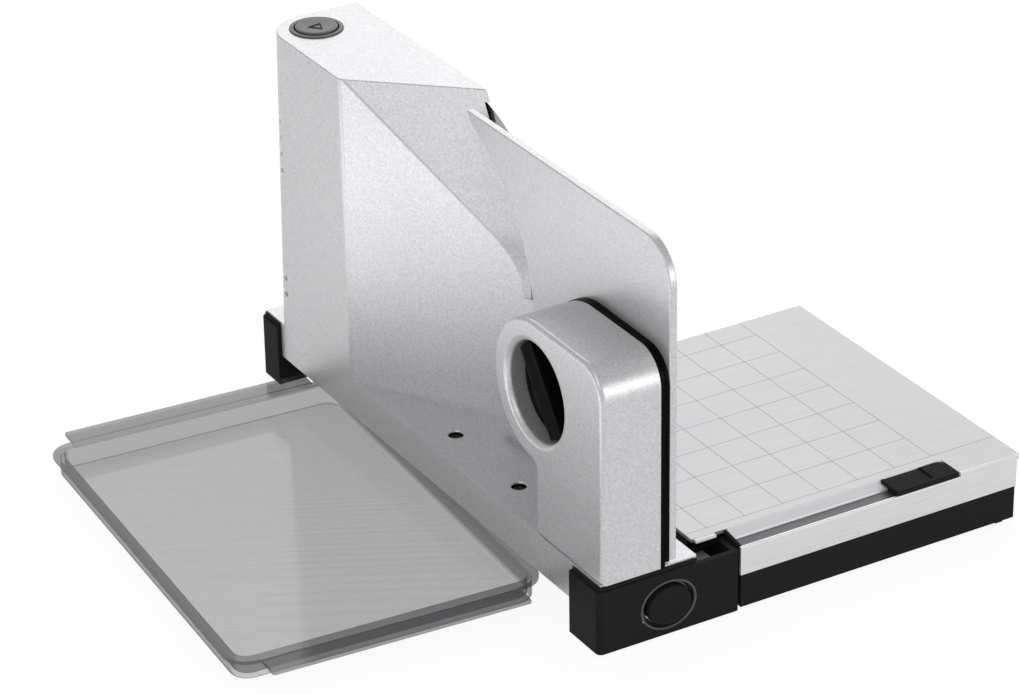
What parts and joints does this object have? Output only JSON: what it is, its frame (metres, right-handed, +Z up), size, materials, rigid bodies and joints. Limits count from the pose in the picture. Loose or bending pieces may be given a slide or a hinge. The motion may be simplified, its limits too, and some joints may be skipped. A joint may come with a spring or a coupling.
{
  "type": "electric food slicer",
  "caption": "Narrow electric food slicer with a round blade, a dial-set stop plate, a sliding food carriage and a loose slice tray.",
  "frame": {"origin": "on the worktop under the middle of the whole machine, its bounding box's bottom centre", "axes": "+X to the operator's right from the tray side to the carriage side, +Y away from the operator, +Z up"},
  "size_m": [0.3733, 0.3198, 0.1941],
  "materials": {
    "silver_paint": "satin",
    "black_plastic": "matte",
    "gloss_black": "gloss",
    "deck_steel": "brushed",
    "blade_steel": "polished",
    "screw_steel": "satin",
    "bronze": "satin",
    "gear_plastic": "satin",
    "inner_plastic": "matte",
    "smoke_plastic": "gloss",
    "pad_rubber": "matte",
    "grey_plastic": "satin"
  },
  "bodies": {
    "machine": {"front_foot": "black_plastic", "rear_foot": "black_plastic", "foot_pads": "pad_rubber", "base_table": "silver_paint", "table_carrier": "black_plastic", "table_screws": "screw_steel", "guide_rail": "deck_steel", "tower_shell": "silver_paint", "blade_side_wall": "black_plastic", "side_wall_screws": "screw_steel", "cord_gland": "pad_rubber", "gear_frame": "inner_plastic", "motor_can": "screw_steel", "motor_magnets": "inner_plastic", "motor_end_cap": "gear_plastic", "blade_bush": "bronze", "top_bezel": "gloss_black", "top_switch": "inner_plastic", "switch_bracket": "inner_plastic", "front_bezel": "gloss_black", "front_switch": "inner_plastic", "adjuster_housing": "silver_paint", "adjuster_back_plate": "black_plastic", "rod_guide": "inner_plastic", "top_button_spring": "screw_steel", "front_button_spring": "screw_steel"},
    "motor_rotor": {"armature": "screw_steel", "worm": "screw_steel"},
    "layshaft": {"lay_shaft": "screw_steel", "worm_wheel": "gear_plastic", "lay_pinion": "screw_steel"},
    "blade_assembly": {"blade_shaft": "screw_steel", "drive_gear": "gear_plastic", "blade_hub": "black_plastic", "blade": "blade_steel"},
    "blade_lock_body": {"blade_lock": "black_plastic"},
    "stop_plate": {"fence_plate": "silver_paint", "fence_carrier": "black_plastic", "fence_rods": "screw_steel", "fence_nut": "inner_plastic"},
    "thickness_dial": {"dial_knob": "black_plastic", "dial_spindle": "inner_plastic"},
    "top_press": {"top_button": "gloss_black"},
    "front_press": {"front_button": "gloss_black"},
    "food_carriage": {"carriage_deck": "deck_steel", "carriage_fascia": "silver_paint", "carriage_frame": "black_plastic", "carriage_glides": "pad_rubber", "channel_cover": "black_plastic", "guide_shoe": "black_plastic", "gutter_end_cap": "black_plastic"},
    "gutter_catch": {"gutter_slider": "gloss_black"},
    "tray": {"slice_tray": "smoke_plastic"}
  },
  "joints": [
    {"name": "blade_spin", "type": "hinge", "parent": "machine", "child": "blade_assembly", "pos_m": [0.01057, 0.0434, 0.1039], "axis": [1, 0, 0], "continuous": true},
    {"name": "layshaft_spin", "type": "hinge", "parent": "machine", "child": "layshaft", "pos_m": [-0.01773, 0.0654, 0.1039], "axis": [1, 0, 0], "continuous": true},
    {"name": "motor_spin", "type": "hinge", "parent": "machine", "child": "motor_rotor", "pos_m": [-0.01523, 0.0824, 0.1039], "axis": [0, 0, 1], "continuous": true},
    {"name": "blade_lock_turn", "type": "hinge", "parent": "blade_assembly", "child": "blade_lock_body", "pos_m": [0.01057, 0.0434, 0.1039], "axis": [1, 0, 0], "range_deg": [0, 90]},
    {"name": "stop_plate_slide", "type": "slide", "parent": "machine", "child": "stop_plate", "axis": [1, 0, 0], "range_m": [0, 0.0122]},
    {"name": "dial_turn", "type": "hinge", "parent": "machine", "child": "thickness_dial", "pos_m": [-0.03073, -0.1011, 0.106], "axis": [1, 0, 0], "range_deg": [0, 330]},
    {"name": "top_button_press", "type": "slide", "parent": "machine", "child": "top_press", "axis": [0, 0, -1], "range_m": [0, 0.003], "stiffness_N_per_m": 800, "deforming": ["top_button_spring"]},
    {"name": "front_button_press", "type": "slide", "parent": "machine", "child": "front_press", "axis": [0, 1, 0], "range_m": [0, 0.0025], "stiffness_N_per_m": 800, "deforming": ["front_button_spring"]},
    {"name": "carriage_slide", "type": "slide", "parent": "machine", "child": "food_carriage", "axis": [0, 1, 0], "range_m": [0, 0.165]},
    {"name": "gutter_catch_slide", "type": "slide", "parent": "food_carriage", "child": "gutter_catch", "axis": [1, 0, 0], "range_m": [-0.08, 0]},
    {"name": "tray_slide", "type": "slide", "parent": "machine", "child": "tray", "axis": [-1, 0, 0], "range_m": [-0.145, 0]}
  ],
  "couplings": [
    {"joint": "layshaft_spin", "follows": "blade_spin", "ratio": -2.6667},
    {"joint": "motor_spin", "follows": "blade_spin", "ratio": 64},
    {"joint": "dial_turn", "follows": "stop_plate_slide", "rad_per_m": 472.05}
  ]
}
